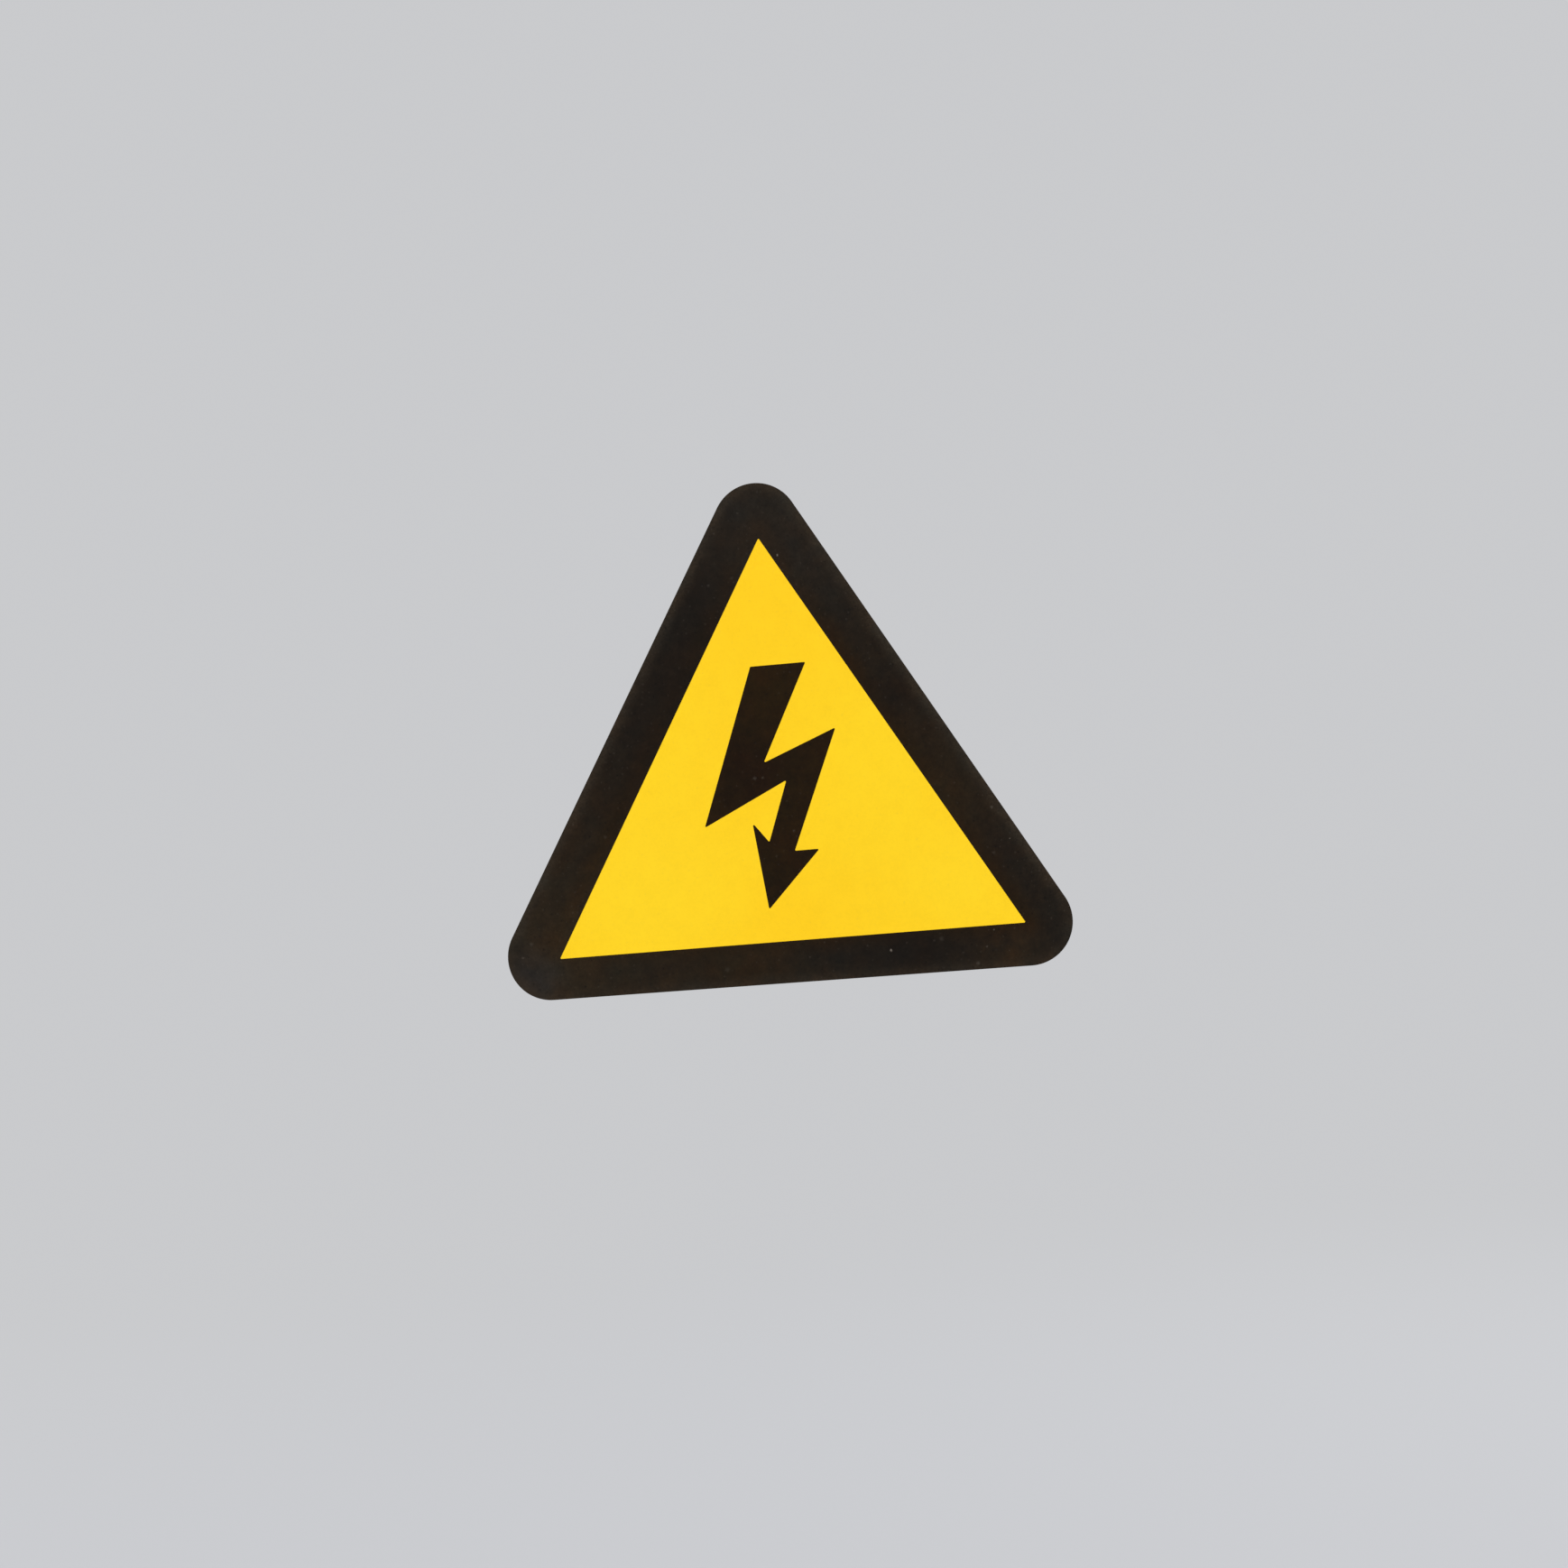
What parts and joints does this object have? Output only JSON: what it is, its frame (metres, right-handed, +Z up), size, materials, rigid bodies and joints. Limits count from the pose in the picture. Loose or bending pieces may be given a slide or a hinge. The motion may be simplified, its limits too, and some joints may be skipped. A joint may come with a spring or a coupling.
{
  "type": "high voltage warning sign",
  "caption": "Triangular self-adhesive vinyl label with rounded corners: a black border and a black arrow-headed bolt printed on yellow, for a door or cabinet.",
  "frame": {"origin": "on the adhesive back, at the centre of the rounded triangle (where its three axes of symmetry meet)", "axes": "+Z up the sign to its top corner, +X to the right of someone who reads it, +Y into the wall or door it is stuck to; the printed face looks along -Y"},
  "size_m": [0.1, 0.0002, 0.0886],
  "materials": {
    "yellow_vinyl": "satin",
    "border_ink": "satin",
    "bolt_ink": "satin"
  },
  "bodies": {
    "root": {"vinyl_label": "yellow_vinyl", "black_border": "border_ink", "lightning_bolt": "bolt_ink"}
  },
  "joints": []
}
